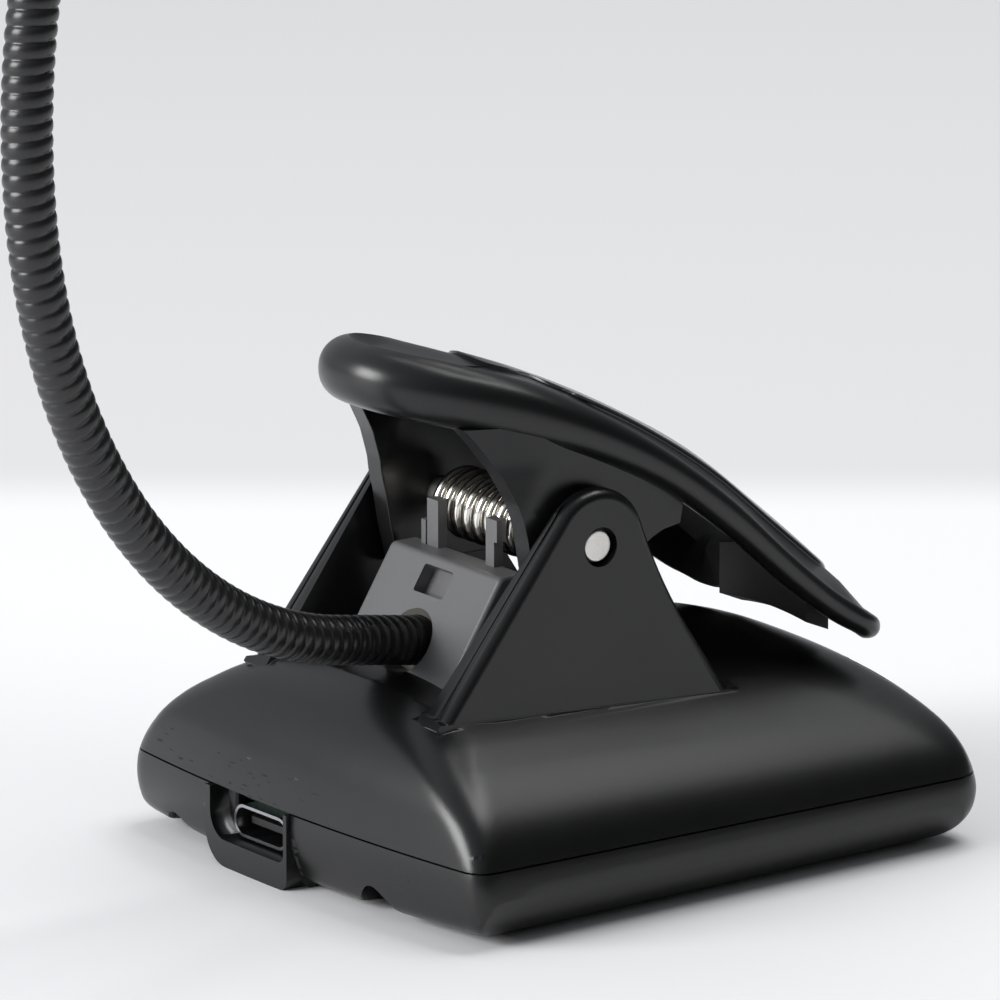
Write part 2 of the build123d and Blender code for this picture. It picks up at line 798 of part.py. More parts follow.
panel_points = [
    (panel_low_x, -panel_half_low, panel_corner_radius),
    (panel_high_x, -panel_half_high, panel_corner_radius),
    (panel_high_x, panel_half_high, panel_corner_radius),
    (panel_low_x, panel_half_low, panel_corner_radius),
]
panel = (lever_solid(-panel_rise, 8.0) - lever_full) & prism(Plane.XY, panel_points, 10.0, 60.0)

pad_points = [
    (jaw_pad_low_x, -jaw_pad_half, 1.5),
    (jaw_pad_high_x, -jaw_pad_half, 1.5),
    (jaw_pad_high_x, jaw_pad_half, 1.5),
    (jaw_pad_low_x, jaw_pad_half, 1.5),
]
jaw_pad = prism(Plane.XY, pad_points, 10.0, 40.0) & lever_solid(lever_wall, 8.0)
jaw_pad -= casing(-jaw_clearance)

# Charging port, board, cell and leads
port_plane = Plane((port_mouth_x, port_y, port_z), x_dir=(0, 1, 0), z_dir=(1, 0, 0))
shell_face = port_plane * RectangleRounded(port_width, port_height, port_height / 2 - 0.05)
shell_bore = port_plane * RectangleRounded(
    port_width - 2 * port_shell_wall, port_height - 2 * port_shell_wall,
    port_height / 2 - port_shell_wall - 0.05)
port_shell = extrude(shell_face, port_depth) - extrude(shell_bore, port_depth - 0.6)
tongue_x = port_mouth_x + tongue_recess
port_tongue = box(tongue_x, port_mouth_x + port_depth - 0.62, port_y - tongue_width / 2,
                  port_y + tongue_width / 2, port_z - tongue_height / 2, port_z + tongue_height / 2)
port_tongue = fillet(
    [e for e in port_tongue.edges() if abs(e.center().X - tongue_x) < 0.01 and e.length < 1.0], 0.6)
board = box(board_low_x, board_high_x, board_low_y, board_high_y, board_z, board_z + board_thick)
for y in board_post_ys:
    board -= rod(board_post_x, y, 0.0, 20.0, screw_hole_radius)
board -= rod(wells[0][0], wells[0][1], 0.0, 20.0, post_radius + 0.4)
board -= rod(wells[1][0], wells[1][1], 0.0, 20.0, post_radius + 0.4)
chip_z = board_z + board_thick + 0.01
board_parts = [
    box(-27.0, -23.0, 6.0, 10.0, chip_z, chip_z + 1.0),
    box(-22.0, -18.5, 1.5, 5.0, chip_z, chip_z + 1.8),
    box(-27.0, -25.4, 1.2, 2.0, chip_z, chip_z + 0.8),
    box(-24.4, -22.8, 1.2, 2.0, chip_z, chip_z + 0.8),
    box(-21.5, -17.5, 8.2, 10.4, chip_z, chip_z + 2.4),
]
cell = box(cell_low_x, cell_high_x, -cell_half, cell_half, cell_z, cell_z + cell_height)
cell = fillet(cell.edges().filter_by(Axis.X), 2.2)
tape = box(cell_low_x + 4, cell_high_x - 4, -cell_half + 4, cell_half - 4, cell_z - tape_height - 0.02,
           cell_z - 0.02)


def lead(points, radius):
    """Round wire through points, laid with a smooth spline."""
    path = Edge.make_spline([Vector(*p) for p in points])
    start = Plane(path.position_at(0), z_dir=path.tangent_at(0))
    return Solid.sweep(Face(Wire.make_circle(radius, start)), Wire([path]))


cell_leads = [
    lead(((cell_low_x - 0.35, y, 7.9), (-14.6, y, 8.2), (-17.1, 8.7 + 1.2 * k, 8.5)), lead_radius)
    for k, y in ((0, 7.6), (1, 10.4))
]
lead_start = neck_path(-neck_inside - 0.6)[0]
lamp_lead = lead((lead_start.to_tuple(), (lead_hole_x, 0, 20.3), (lead_hole_x, 0, 17.4),
                  (-14.4, 0.8, 14.2), (-18.2, 2.6, 12.6), (-20.2, 3.2, 11.4),
                  (-20.3, 3.2, chip_z + 2.15)), lamp_lead_radius)

# Lamp head, built in its own frame and set on the neck's end
head_origin, head_ahead = neck_path(head_at)
head_plane = Plane(head_origin, x_dir=head_ahead, z_dir=neck_normal.cross(head_ahead) * -1)
if head_plane.z_dir.Z < 0:
    head_plane = Plane(head_origin, x_dir=head_ahead, z_dir=head_plane.z_dir * -1)


def head_outline(inset):
    low, high, half = inset, head_depth - inset, head_half - inset
    radius = head_corner_radius - inset
    return [(low, -half, radius), (high, -half, radius), (high, half, radius), (low, half, radius)]


def rect(x0, x1, half, radius):
    return [(x0, -half, radius), (x1, -half, radius), (x1, half, radius), (x0, half, radius)]


cover = prism(Plane.XY, head_outline(0.0), head_seam + head_seam_gap / 2, head_top)
cover = fillet([e for e in cover.edges() if e.center().Z > head_top - 0.01], head_top_radius)
cover -= prism(Plane.XY, head_outline(head_wall), -10.0, head_top - head_wall)
tray = prism(Plane.XY, head_outline(0.0), head_bottom, head_seam - head_seam_gap / 2)
tray = fillet([e for e in tray.edges() if e.center().Z < head_bottom + 0.01], head_bottom_radius)
tray_floor = head_bottom + 1.4
tray -= prism(Plane.XY, head_outline(head_wall), tray_floor, 20.0)
tray -= prism(Plane.XY, rect(window_low_x, window_high_x, window_half, window_corner_radius), -20.0, 20.0)
for side in (-1, 1):
    low_y, high_y = sorted((side * (rib_y - 0.5), side * (rib_y + 0.5)))
    tray += box(8.5, 31.0, low_y, high_y, tray_floor - 0.5, led_board_z - 0.01)
    for x in head_screw_xs:
        tray += rod(x, side * head_screw_y, tray_floor - 0.5, head_seam - head_seam_gap / 2, head_screw_post)
        cover += rod(x, side * head_screw_y, head_seam + head_seam_gap / 2, head_top - 1.0, head_screw_post - 0.2)
for side in (-1, 1):
    for x in head_screw_xs:
        tray -= rod(x, side * head_screw_y, -20.0, head_bottom + 2.0, screw_head_radius + 0.2)
        tray -= rod(x, side * head_screw_y, -20.0, 20.0, screw_hole_radius)
        cover -= rod(x, side * head_screw_y, -20.0, 3.6, screw_pilot_radius)
collar_hole = Solid.make_cylinder(
    collar_radius + collar_hole_clearance, 8.0, Plane((-2, 0, 0), z_dir=(1, 0, 0)))
cover -= collar_hole
tray -= collar_hole
for y in button_ys:
    cover -= rod(button_x, y, 0.0, 20.0, button_hole_radius)
head_screws = []
for side in (-1, 1):
    for x in head_screw_xs:
        seat = Plane((x, side * head_screw_y, head_bottom + 2.02 - 0.04), z_dir=UP)
        head_screws.append(screw(seat, 6.0, 1.8, 1.2))
collar = Solid.make_cylinder(collar_radius, collar_front - collar_back, Plane((collar_back, 0, 0), z_dir=(1, 0, 0)))
collar = fillet([e for e in collar.edges() if e.center().X < collar_back + 0.01], 1.2)
collar -= Solid.make_cylinder(collar_bore_radius, 20.0, Plane((collar_back - 5, 0, 0), z_dir=(1, 0, 0)))
diffuser = prism(Plane.XY, rect(window_low_x + diffuser_gap, window_high_x - diffuser_gap,
                                window_half - diffuser_gap, window_corner_radius - diffuser_gap),
                 head_bottom + 0.3, tray_floor + 0.3)
diffuser += prism(Plane.XY, rect(window_low_x - diffuser_margin, window_high_x + diffuser_margin,
                                 window_half + diffuser_margin, window_corner_radius),
                  tray_floor + 0.01, tray_floor + diffuser_plate)
led_board = prism(Plane.XY, rect(led_board_low_x, led_board_high_x, led_board_half, 1.0),
                  led_board_z, led_board_z + 1.0)
leds = []
for x in led_rows:
    for y in led_columns:
        leds.append(box(x - led_size[0] / 2, x + led_size[0] / 2, y - led_size[1] / 2, y + led_size[1] / 2,
                        led_board_z - 0.01 - led_size[2], led_board_z - 0.01))
switches = []
buttons = []
for y in button_ys:
    half = switch_size / 2
    low = led_board_z + 1.01
    switches.append(box(button_x - half, button_x + half, y - half, y + half, low, low + switch_height))
    cap = rod(button_x, y, head_top - head_wall - 0.6, head_top + button_rise, button_radius)
    cap = fillet([e for e in cap.edges() if e.center().Z > head_top + button_rise - 0.01], 0.6)
    flange_top = head_top - head_wall - 0.15
    cap += rod(button_x, y, flange_top - button_flange, flange_top, button_flange_radius)
    cap += rod(button_x, y, button_stem_low, flange_top, button_stem_radius)
    buttons.append(cap)


def in_head(shape):
    return head_plane.location * shape


slots = {
    "upper_casing": upper,
    "lower_casing": lower,
    "casing_screws": case_screws,
    "neck_block": block,
    "neck_block_screws": block_screws,
    "neck_ferrule": ferrule,
    "pivot_pin": pin,
    "torsion_spring": spring,
    "port_shell": port_shell,
    "port_tongue": port_tongue,
    "charge_board": board,
    "charge_board_parts": board_parts,
    "charge_board_screws": board_screws,
    "battery_cell": cell,
    "battery_tape": tape,
    "battery_leads": cell_leads,
    "lamp_lead": lamp_lead,
    "lever_shell": lever,
    "lever_panel": panel,
    "jaw_pad": jaw_pad,
    "head_collar": in_head(collar),
    "head_cover": in_head(cover),
    "head_tray": in_head(tray),
    "head_diffuser": in_head(diffuser),
    "led_board": in_head(led_board),
    "leds": [in_head(s) for s in leds],
    "head_switches": [in_head(s) for s in switches],
    "head_screws": [in_head(s) for s in head_screws],
    "power_button": in_head(buttons[0]),
    "level_button": in_head(buttons[1]),
}
marks = (-neck_inside,) + neck_cuts + (neck_end,)
for k in range(len(marks) - 1):
    start = marks[k] + (neck_cut_gap / 2 if k else 0.0)
    finish = marks[k + 1] - (neck_cut_gap / 2 if k < len(marks) - 2 else 0.0)
    slots["neck_length_%d" % (k + 1)] = ribbed_length(start, finish)
    slots["lamp_cable_%d" % (k + 1)] = cable_length(start, finish)

for name, shape in slots.items():
    solids = []
    for item in shape if isinstance(shape, list) else [shape]:
        solids.extend(item.solids())
    export_step(Compound(solids) if len(solids) > 1 else solids[0], "parts/%s.step" % name)
    print(name, len(solids), "volume", round(sum(s.volume for s in solids), 1))
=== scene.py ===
import math

import bmesh
import bpy
import numpy as np
from mathutils import Matrix, Vector


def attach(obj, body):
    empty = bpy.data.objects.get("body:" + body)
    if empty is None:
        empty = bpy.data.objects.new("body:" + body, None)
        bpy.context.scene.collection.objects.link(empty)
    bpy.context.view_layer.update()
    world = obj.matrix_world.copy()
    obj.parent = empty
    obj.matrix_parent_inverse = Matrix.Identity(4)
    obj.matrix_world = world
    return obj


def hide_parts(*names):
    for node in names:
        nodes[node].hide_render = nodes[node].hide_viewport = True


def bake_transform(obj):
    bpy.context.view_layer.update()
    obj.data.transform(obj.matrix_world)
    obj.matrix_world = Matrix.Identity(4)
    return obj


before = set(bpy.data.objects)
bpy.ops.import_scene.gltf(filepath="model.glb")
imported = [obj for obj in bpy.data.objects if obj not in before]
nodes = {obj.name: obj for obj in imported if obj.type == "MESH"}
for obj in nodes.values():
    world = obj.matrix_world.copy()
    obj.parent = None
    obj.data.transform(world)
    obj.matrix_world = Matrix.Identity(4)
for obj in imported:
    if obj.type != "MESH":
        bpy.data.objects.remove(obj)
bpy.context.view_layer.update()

# The camera: a long lens set low at the clip's port end, the way the picture was taken. It sees
# the clip and the first part of the neck, and the lamp head lies above its view.
turn, lift = math.radians(-36.4), math.radians(14.45)
stand_off = 1.17647
slide, drop = 0.006286, -0.032656
toward = Vector((math.sin(turn) * math.cos(lift), -math.cos(turn) * math.cos(lift), math.sin(lift)))
right = Vector((math.cos(turn), math.sin(turn), 0.0))
up = toward.cross(right)
eye = bpy.data.objects.new("camera", bpy.data.cameras.new("camera"))
bpy.context.scene.collection.objects.link(eye)
eye.data.sensor_width = 36.0
eye.data.lens = 432.0
eye.data.clip_start, eye.data.clip_end = 0.01, 30.0
eye.location = toward * stand_off - right * slide - up * drop
eye.rotation_euler = Matrix((right, up, toward)).transposed().to_euler()
bpy.context.scene.camera = eye
bpy.context.scene.view_settings.view_transform = "Standard"


# The table: a white top that the light stands on, a pale sheet that is no part of it. Its far
# part turns grey and is lost in the wall behind, which is the surround's own colour.
class Signal:
    """One output of a shader node, with the arithmetic that the finishes use."""

    def __init__(self, tree, socket):
        self.tree, self.socket = tree, socket

    def math(self, kind, other):
        return node(self.tree, "Math", {"operation": kind}, self, other)

    def __add__(self, other):
        return self.math("ADD", other)

    def __mul__(self, other):
        return self.math("MULTIPLY", other)

    def __gt__(self, other):
        return self.math("GREATER_THAN", other)

    __radd__, __rmul__ = __add__, __mul__


def node(tree, kind, settings, *values, out=0, **named):
    """A shader node of a kind, its settings made first, then its sockets fed in order or by name."""
    made = tree.nodes.new("ShaderNode" + kind)
    for name, value in settings.items():
        setattr(made, name, value)
    fed = list(enumerate(values)) + [(name.replace("_", " "), v) for name, v in named.items()]
    for place, value in fed:
        socket = made.inputs[place]
        if isinstance(value, Signal):
            tree.links.new(value.socket, socket)
        elif value is not None:
            socket.default_value = value
    return Signal(tree, made.outputs[out] if made.outputs else None)


def blank(name):
    """An empty material and its shader tree."""
    made = bpy.data.materials.new(name)
    made.use_nodes = True
    made.node_tree.nodes.clear()
    return made, made.node_tree


def between(tree, amount, first, second):
    """Colour that goes from the first to the second as amount goes from 0 to 1."""
    skip = [None] * 5
    return node(tree, "Mix", {"data_type": "RGBA"}, amount, *skip, first, second, out=2)


def finish(tree, **named):
    """Closes a material's tree with the shader that has these values."""
    node(tree, "OutputMaterial", {}, Surface=node(tree, "BsdfPrincipled", {}, **named))


def placed(name, data):
    """An object of a mesh or a lamp, linked to the scene."""
    made = bpy.data.objects.new(name, data)
    bpy.context.scene.collection.objects.link(made)
    return made


table_reach = 3.0
table_white, wall_grey = (0.86, 0.86, 0.87, 1), (0.70, 0.695, 0.70, 1)
wall_from, wall_to = 0.120, 0.142
mesh = bpy.data.meshes.new("table_top")
corners = [(x * table_reach, y * table_reach, 0) for x, y in ((-1, -1), (1, -1), (1, 1), (-1, 1))]
mesh.from_pydata(corners, [], [(0, 1, 2, 3)])
placed("table_top", mesh)
look, tree = blank("table_top")
spot = node(tree, "NewGeometry", {})
depth = node(tree, "VectorMath", {"operation": "DOT_PRODUCT"}, spot, tuple(-toward), out=1)
far = node(tree, "MapRange", {"interpolation_type": "SMOOTHSTEP"}, depth, wall_from, wall_to)
finish(tree, Base_Color=between(tree, far, table_white, wall_grey), Roughness=0.6)
mesh.materials.append(look)

# The light: a wide soft lamp overhead, a large one beside the port end and a dim surround that is
# brighter on the port side. The camera sees the surround as the pale grey wall.
wall_shade, air_shade = (0.83, 0.83, 0.84, 1), (0.93, 0.96, 1.0, 1)
air_dim, air_bright = 0.05, 0.62
world = bpy.data.worlds.new("room")
bpy.context.scene.world = world
world.use_nodes = True
tree = world.node_tree
tree.nodes.clear()
seen = node(tree, "LightPath", {})
way = node(tree, "TexCoord", {})
from_left = node(tree, "VectorMath", {"operation": "DOT_PRODUCT"}, way, (-0.55, 0.65, 0.52), out=1)
share = node(tree, "MapRange", {}, from_left, -0.35, 0.9, 0.0, 1.0)
dim, bright = (node(tree, "Background", {}, air_shade, strength) for strength in (air_dim, air_bright))
air = node(tree, "MixShader", {}, share, dim, bright)
wall = node(tree, "Background", {}, wall_shade, 1.0)
node(tree, "OutputWorld", {}, Surface=node(tree, "MixShader", {}, seen, air, wall))


def soft_lamp(name, place, aim, wide, high, power):
    """A rectangular lamp at a place, turned to what it lights."""
    data = bpy.data.lights.new(name, "AREA")
    data.shape, data.size, data.size_y, data.energy = "RECTANGLE", wide, high, power
    made = placed(name, data)
    made.location = place
    made.rotation_euler = (Vector(aim) - Vector(place)).to_track_quat("-Z", "Y").to_euler()


soft_lamp("lamp_overhead", place=(0.38, 0.02, 0.95), aim=(0, 0, 0), wide=0.8, high=0.5, power=6.5)
soft_lamp("lamp_port_side", place=(-1.0, 0.25, 0.42), aim=(0, 0, 0.03), wide=0.6, high=0.5, power=12.0)


# The casing's two halves: moulded black plastic with a fine even spark grain, split by a thin
# seam. The lower half carries the port's boss and the screw wells, the upper one the ears.
# The solids have mitred corners; their outer skin is carved here to the moulding's soft one.
def moulded(name, shade, rough, grain=0.3, coarse=7000.0):
    """Black moulded plastic: a fine grain, faint smudges in its gloss and a little dust."""
    look, tree = blank(name)
    place = node(tree, "NewGeometry", {})
    pits = node(tree, "TexNoise", {}, place, None, coarse, 2.0, 0.55)
    smudge = node(tree, "TexNoise", {}, place, None, 90.0, 3.0, 0.6)
    dust = node(tree, "TexNoise", {}, place, None, 1900.0, 1.0, 0.5) > 0.76
    lint = [c * 1.6 + 0.008 for c in shade]
    finish(tree, Base_Color=between(tree, dust * 0.3, (*shade, 1), (*lint, 1)),
           Roughness=smudge * 0.10 + pits * 0.04 + (rough - 0.07),
           Normal=node(tree, "Bump", {}, grain, 0.00003, Height=pits))
    return look


def dress(look, *names):
    """Gives CAD nodes their finish."""
    for name in names:
        nodes[name].data.materials.clear()
        nodes[name].data.materials.append(look)


def soft_max(a, b, round_by):
    """The larger of two distances, eased where they meet, so that the solid's edge is rounded."""
    h = np.clip(0.5 + 0.5 * (a - b) / round_by, 0.0, 1.0)
    return b + (a - b) * h + round_by * h * (1.0 - h)


def facing(along, height, at_along, at_height, degrees):
    """Signed distance from a sloping plane; degrees is how far it leans back from upright."""
    lean = np.radians(degrees)
    return (along - at_along) * np.cos(lean) + (height - at_height) * np.sin(lean)


def faced(start, along, height, faces):
    """The distance start, rounded into each sloping face in turn."""
    for at_along, at_height, degrees, ease in faces:
        start = soft_max(start, facing(along, height, at_along, at_height, degrees), ease)
    return start


# The casing's faces in mm and degrees. A face is where it stands, at what height and how far it
# leans back; those of the two ends also say how softly each runs into the one before it.
port_foot, port_under = (33.85, 8.0, 1.5), (31.4, 0.0, 36.3)
port_faces = ((33.6, 10.4, 20.8, 3.0), (31.2, 16.6, 54.0, 3.0))
jaw_front, jaw_faces = 33.1, ((33.1, 12.5, 33.0, 4.0), (30.5, 16.5, 67.1, 6.0), (24.1, 19.2, 71.4, 5.0))
flank_half, flank_taper = 28.4, 0.0345
belly_out, belly_height, belly_lean = 29.4, 8.2, 29.0
shoulder_out, shoulder_height, shoulder_lean = 26.05, 11.5, 56.8
port_sweep, jaw_sweep = 436.0, 608.0
roof_out, roof_places = 15.2, (-36.0, 8.0, 36.0)
roof_rise, roof_height = (2.0, 24.0, 22.0), (19.6, 16.8, 14.9)
flank_ease, shoulder_ease, roof_ease, port_ease, jaw_ease = 3.0, 3.4, 2.0, 3.0, 4.4
skin_inset = 0.05


def casing_skin(p):
    """Signed distance, in mm, from the casing's rounded outside."""
    x, y, z = p[..., 0], np.abs(p[..., 1]) - skin_inset, p[..., 2]
    belly = facing(y, z, belly_out - flank_taper * (x + 32), belly_height, belly_lean)
    shoulder = facing(y, z, shoulder_out - 0.0347 * x, shoulder_height - 0.0222 * x,
                      shoulder_lean + 0.1 * (x + 36))
    flank = soft_max(y - (flank_half - flank_taper * x), belly, flank_ease)
    flank = soft_max(flank, shoulder, shoulder_ease)
    port_way = -x + y ** 2 / port_sweep
    port = faced(facing(port_way, z, *port_foot), port_way, z, port_faces)
    port = soft_max(port, facing(port_way, -z, *port_under), port_ease)
    jaw_way = x + y ** 2 / jaw_sweep - skin_inset
    jaw = faced(jaw_way - jaw_front, jaw_way, z, jaw_faces)
    ridge = np.sqrt(y ** 2 + 30.0) - 5.5
    lean = 90.0 - np.interp(x, roof_places, roof_rise)
    roof = facing(ridge, z, roof_out, np.interp(x, roof_places, roof_height), lean)
    port_edge = 2.2 + 0.12 * np.clip(z - 8.0, 0.0, 8.0)
    foot_edge = 1.2 + 4.8 * np.clip((x + 33.0) / 8.0, 0.0, 1.0)
    body = soft_max(soft_max(flank, roof, roof_ease), port, port_edge)
    return soft_max(soft_max(body, jaw, jaw_ease), -z, foot_edge) + skin_inset


def shown(name, mesh):
    """Object with the points and faces of mesh, which is used up."""
    data = bpy.data.meshes.new(name)
    mesh.to_mesh(data)
    mesh.free()
    return placed(name, data)


def opened(data):
    """The points and faces of a mesh, ready to be worked on."""
    mesh = bmesh.new()
    mesh.from_mesh(data)
    return mesh


def solid_from(name, mesh):
    """Object of a mesh whose doubled points are joined and whose faces look outwards."""
    mesh.normal_update()
    bmesh.ops.remove_doubles(mesh, verts=mesh.verts, dist=1e-6)
    bmesh.ops.dissolve_limit(mesh, angle_limit=math.radians(0.2), verts=mesh.verts, edges=mesh.edges)
    bmesh.ops.recalc_face_normals(mesh, faces=mesh.faces)
    for face in mesh.faces:
        face.smooth = True
    return shown(name, mesh)


def grown(name, distance, fine):
    """Closed mesh of the solid where distance is below nought, felt for from inside the casing."""
    span = np.tan(np.linspace(-np.pi / 4, np.pi / 4, fine + 1))
    a, b = np.meshgrid(span, span, indexing="ij")
    one = np.ones_like(a)
    sides = [(one, a, b), (-one, b, a), (b, one, a), (a, -one, b), (a, b, one), (b, a, -one)]
    ways = np.stack([np.stack(side, -1) for side in sides])
    ways = ways / np.linalg.norm(ways, axis=-1, keepdims=True) * np.array(casing_reach)
    low, high = np.zeros(ways.shape[:-1]), np.full(ways.shape[:-1], 2.5)
    for _ in range(30):
        half = (low + high) / 2
        out = distance(np.array(casing_middle) + ways * half[..., None]) > 0
        high, low = np.where(out, half, high), np.where(out, low, half)
    places = (np.array(casing_middle) + ways * low[..., None]).reshape(-1, 3) / 1000.0
    row = fine + 1
    starts = [(side * row + i) * row + j for side in range(6) for i in range(fine) for j in range(fine)]
    data = bpy.data.meshes.new(name)
    data.from_pydata([tuple(v) for v in places], [], [(k, k + row, k + row + 1, k + 1) for k in starts])
    return solid_from(name, opened(data))


def plate(name, outline, low, high):
    """Flat plate whose outline lies in the XZ plane, between two heights along Y, in mm."""
    mesh = bmesh.new()
    rings = [[mesh.verts.new((x / 1000.0, y / 1000.0, z / 1000.0)) for x, z in outline]
             for y in (low, high)]
    mesh.faces.new(rings[0])
    mesh.faces.new(reversed(rings[1]))
    for i in range(len(outline)):
        j = (i + 1) % len(outline)
        mesh.faces.new((rings[0][j], rings[0][i], rings[1][i], rings[1][j]))
    return solid_from(name, mesh)


def combined(name, base, steps=()):
    """The mesh of base after each (way, other object) step; all objects given are used up."""
    for way, other in steps:
        cut = base.modifiers.new(way, "BOOLEAN")
        cut.operation, cut.object, cut.solver = way, other, "EXACT"
    data = bpy.data.meshes.new_from_object(base.evaluated_get(bpy.context.evaluated_depsgraph_get()))
    for used in [base] + [other for _, other in steps]:
        bpy.data.objects.remove(used)
    data.shade_smooth()
    data.set_sharp_from_angle(angle=math.radians(28))
    return placed(name, data)


casing_middle, casing_reach = (0.0, 0.0, 8.0), (33.0, 28.0, 9.0)
casing_look = moulded("casing_black", (0.0045, 0.0046, 0.005), 0.30)
ear_room = ((-27.0, 18.4), (-23.0, 13.5), (11.4, 13.5), (1.6, 28.4), (-0.8, 34.0), (-0.8, 41.0),
            (-5.0, 47.0), (-9.0, 43.6))
port_room = ((-34.2, -0.3), (-30.2, -0.3), (-30.2, 8.2), (-34.2, 8.2))
casing_rooms = {"upper_casing": ((ear_room, -16.05, -12.5), (ear_room, 12.5, 16.05)),
                "lower_casing": ((port_room, -0.75, 13.55),)}
for half, rooms in casing_rooms.items():
    skin = grown("skin", casing_skin, 88)
    skin = combined("skin", skin, [("UNION", plate("room", *room)) for room in rooms])
    shell = solid_from("shell", opened(nodes[half].data))
    shell = combined(half + "_skin", shell, [("INTERSECT", skin)])
    shell.data.materials.clear()
    shell.data.materials.append(casing_look)
    shell.modifiers.new("even", "WEIGHTED_NORMAL").keep_sharp = True
    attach(shell, "clip")
    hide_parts(half)

# Where the moulding's round corners run close to the solid's inside, its wall is made up from
# within, so that the corners are as thick as the rest.
lining_inset, casing_wall = 0.22, 1.6
inner = grown("inner", lambda p: casing_skin(p) + casing_wall, 48)
above = plate("above", ((-40, 8.12), (40, 7.12), (40, 40), (-40, 40)), -40, 40)
opening = plate("opening", ((-29.5, 12), (20, 12), (20, 40), (-29.5, 40)), -16.5, 16.5)
lining = grown("lining", lambda p: casing_skin(p) + lining_inset, 80)
lining = combined("upper_casing_lining", lining,
                  [("DIFFERENCE", inner), ("INTERSECT", above), ("DIFFERENCE", opening)])
lining.data.materials.clear()
lining.data.materials.append(casing_look)
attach(lining, "clip")
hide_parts("upper_casing")

# The lever: one black moulding with a rounded rim about its thumb pad, an arched back and two
# cheeks that turn on the pin. A smooth plate is let into its back; a rubber pad is under its tip.
def band(mesh, rings):
    """Faces between each ring of points and the next."""
    count = len(rings[0])
    for low, high in zip(rings, rings[1:]):
        for i in range(count):
            j = (i + 1) % count
            mesh.faces.new((low[i], low[j], high[j], high[i])).smooth = True


def tube(name, places, radius, sides):
    """Round bar along places, as a mesh whose rings turn as little as they can."""
    mesh = bmesh.new()
    ahead = (places[1] - places[0]).normalized()
    out = ahead.orthogonal().normalized()
    turns = [2 * math.pi * i / sides for i in range(sides)]
    rings = []
    for k, place in enumerate(places):
        new = (places[min(k + 1, len(places) - 1)] - places[max(k - 1, 0)]).normalized()
        out = ahead.rotation_difference(new) @ out
        out = (out - new * out.dot(new)).normalized()
        ahead = new
        side = ahead.cross(out)
        rings.append([mesh.verts.new(place + (out * math.cos(a) + side * math.sin(a)) * radius)
                      for a in turns])
    band(mesh, rings)
    mesh.faces.new(reversed(rings[0]))
    mesh.faces.new(rings[-1])
    return shown(name, mesh)


lever_end, lever_widest, lever_tip, tip_corner = -26.9, 7.0, 29.4, 4.0
pad_half, pad_power, wall_thick = 15.1, 2.32, 1.8
# Each row: x, height of the lower edge, of the upper edge and of the crowned middle, in mm
lever_rows = (
    (-27.0, 46.5, 52.9, 53.0), (-20.0, 44.8, 51.3, 51.9), (-12.5, 42.9, 49.1, 49.9),
    (-5.0, 40.5, 45.6, 47.0), (2.5, 36.8, 41.0, 43.3), (10.0, 31.2, 35.2, 39.0),
    (17.4, 24.8, 28.4, 33.3), (22.4, 21.0, 24.2, 29.0), (29.5, 17.2, 19.6, 21.6))
dish_x, dish_radius, dish_middle, dish_ease = -6.9, 40.0, 88.4, 0.5


def eased(x, column):
    """Smooth curve through one column of the lever's rows."""
    xs, ys = (np.array([row[c] for row in lever_rows]) for c in (0, column))
    slopes = np.gradient(ys, xs)
    k = np.clip(np.searchsorted(xs, x) - 1, 0, len(xs) - 2)
    h = xs[k + 1] - xs[k]
    t = np.clip((x - xs[k]) / h, 0.0, 1.0)
    return ((2 * t ** 3 - 3 * t ** 2 + 1) * ys[k] + (t ** 3 - 2 * t ** 2 + t) * h * slopes[k]
            + (3 * t ** 2 - 2 * t ** 3) * ys[k + 1] + (t ** 3 - t ** 2) * h * slopes[k + 1])


def half_width(x):
    """Half the lever's width at x: an egg-shaped pad end, straight sides and a squared tip."""
    share = np.clip((lever_widest - x) / (lever_widest - lever_end), 0.0, 1.0)
    wide = pad_half * (1.0 - share ** pad_power) ** (1.0 / pad_power)
    past = np.clip(x - (lever_tip - tip_corner), 0.0, tip_corner)
    return wide - (tip_corner - np.sqrt(tip_corner ** 2 - past ** 2))


def crown(x, y):
    """How far the lever's back rises above its edge at a place, from 0 to the middle's full rise."""
    share = np.clip(1.0 - (y / pad_half) ** 2, 0.0, 1.0)
    return (eased(x, 3) - eased(x, 2)) * share


def back(x, y):
    """Height of the lever's back, with the shallow dish that the thumb rests in."""
    plain = eased(x, 2) + crown(x, y)
    bowl = dish_middle - np.sqrt(dish_radius ** 2 - (x - dish_x) ** 2 - y ** 2)
    h = np.clip(0.5 + 0.5 * (bowl - plain) / dish_ease, 0.0, 1.0)
    return bowl + (plain - bowl) * h - dish_ease * h * (1.0 - h)


around, across_tip = 260, 15
turns = np.linspace(0.0, 2 * np.pi, around, endpoint=False)
middle_x, half_x = (lever_end + lever_tip) / 2, (lever_tip - lever_end) / 2
rim_x = middle_x - half_x * np.cos(turns)
rim_y = half_width(rim_x) * np.sign(np.sin(turns))
rim_y[0] = rim_y[around // 2] = 0.0
tip_half = pad_half - tip_corner
rim = np.stack([rim_x, rim_y], -1)
far_tip, near_tip = rim[:around // 2], rim[around // 2 + 1:]
square = np.stack([np.full(across_tip, lever_tip), np.linspace(tip_half, -tip_half, across_tip)], -1)
rim = np.concatenate([far_tip, square, near_tip])
legs = np.linalg.norm(np.roll(rim, -1, 0) - rim, axis=1)
run = np.concatenate([[0.0], np.cumsum(legs)])
even = np.linspace(0.0, run[-1], around, endpoint=False)
closed = np.concatenate([rim, rim[:1]])
rim = np.stack([np.interp(even, run, closed[:, c]) for c in (0, 1)], -1)
heading = np.roll(rim, -1, 0) - np.roll(rim, 1, 0)
heading /= np.linalg.norm(heading, axis=1, keepdims=True)
inward = np.stack([heading[:, 1], -heading[:, 0]], -1)
